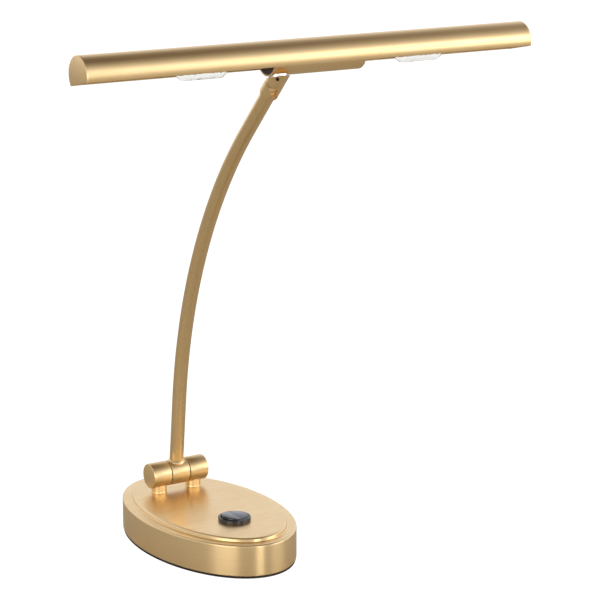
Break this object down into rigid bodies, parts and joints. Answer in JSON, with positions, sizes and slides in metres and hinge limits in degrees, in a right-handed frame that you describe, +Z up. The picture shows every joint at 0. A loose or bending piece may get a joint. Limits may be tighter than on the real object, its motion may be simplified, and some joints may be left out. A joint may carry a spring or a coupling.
{
  "type": "piano lamp",
  "caption": "Piano lamp with a weighted oval base, rocker switch, friction hinge, bent tube arm and a long tilting, swivelling trough shade with capsule bulbs",
  "frame": {"origin": "centre of the oval base's underside, on the surface that the lamp stands on", "axes": "+Z up; X runs along the shade, -Y is the front with the switch, +Y is the rear with the hinge"},
  "size_m": [0.34, 0.1927, 0.3661],
  "materials": {
    "satin_gold": "satin brushed gold plating",
    "cast_iron": "rough casting",
    "zinc_steel": "zinc plated",
    "dark_steel": "blackened",
    "felt": "black felt",
    "black_rubber": "moulded rubber",
    "black_plastic": "gloss black",
    "white_plastic": "moulded",
    "wire_sheath": "insulation",
    "white_paint": "gloss white paint",
    "ceramic": null,
    "clear_glass": "clear",
    "lamp_wire": "tungsten and nickel wire"
  },
  "bodies": {
    "base": {"base_shell": "satin_gold", "ballast_weight": "cast_iron", "bottom_plate": "zinc_steel", "felt_pad": "felt", "base_screws": "zinc_steel", "cable_gland": "black_rubber", "terminal_block": "white_plastic", "switch_housing": "black_plastic", "switch_terminals": "zinc_steel", "hinge_post_left": "satin_gold", "hinge_post_right": "satin_gold", "post_nuts": "zinc_steel", "outer_knuckle_left": "satin_gold", "outer_knuckle_right": "satin_gold", "hinge_washer_left": "black_plastic", "hinge_washer_right": "black_plastic", "hinge_bolt": "zinc_steel", "hinge_spring_washer": "zinc_steel", "hinge_end_cap": "satin_gold"},
    "rocker": {"switch_rocker": "black_plastic"},
    "arm": {"centre_knuckle": "satin_gold", "arm_tube": "satin_gold", "arm_lead": "wire_sheath", "lower_coupling": "satin_gold", "coupling_screw": "dark_steel", "coupling_washer": "zinc_steel"},
    "head_link": {"upper_coupling": "satin_gold", "stud_grub_screw": "dark_steel", "swivel_stud": "zinc_steel", "swivel_nut": "zinc_steel"},
    "head": {"shade_shell": "satin_gold", "shade_end_left": "satin_gold", "shade_end_right": "satin_gold", "reflector": "white_paint", "shade_carrier": "satin_gold", "carrier_posts": "zinc_steel", "carrier_screws": "zinc_steel", "carrier_end_left": "black_plastic", "carrier_end_right": "satin_gold", "swivel_washer": "zinc_steel", "head_wires": "wire_sheath", "lampholder_left": "ceramic", "lampholder_right": "ceramic", "bulb_pins_left": "lamp_wire", "bulb_pins_right": "lamp_wire", "bulb_glass_left": "clear_glass", "bulb_glass_right": "clear_glass", "filament_left": "lamp_wire", "filament_right": "lamp_wire"}
  },
  "joints": [
    {"name": "arm_tilt", "type": "hinge", "parent": "base", "child": "arm", "pos_m": [0, 0.0455, 0.0393], "axis": [1, 0, 0], "range_deg": [-35, 45]},
    {"name": "head_tilt", "type": "hinge", "parent": "arm", "child": "head_link", "pos_m": [0, -0.08758, 0.33479], "axis": [1, 0, 0], "range_deg": [-40, 40]},
    {"name": "head_swivel", "type": "hinge", "parent": "head_link", "child": "head", "pos_m": [0, -0.0954, 0.34286], "axis": [0, 0.1938, 0.981], "range_deg": [-45, 45]},
    {"name": "rocker_press", "type": "hinge", "parent": "base", "child": "rocker", "pos_m": [0, -0.0367, 0.0255], "axis": [0, 1, 0], "range_deg": [-8, 0]}
  ]
}
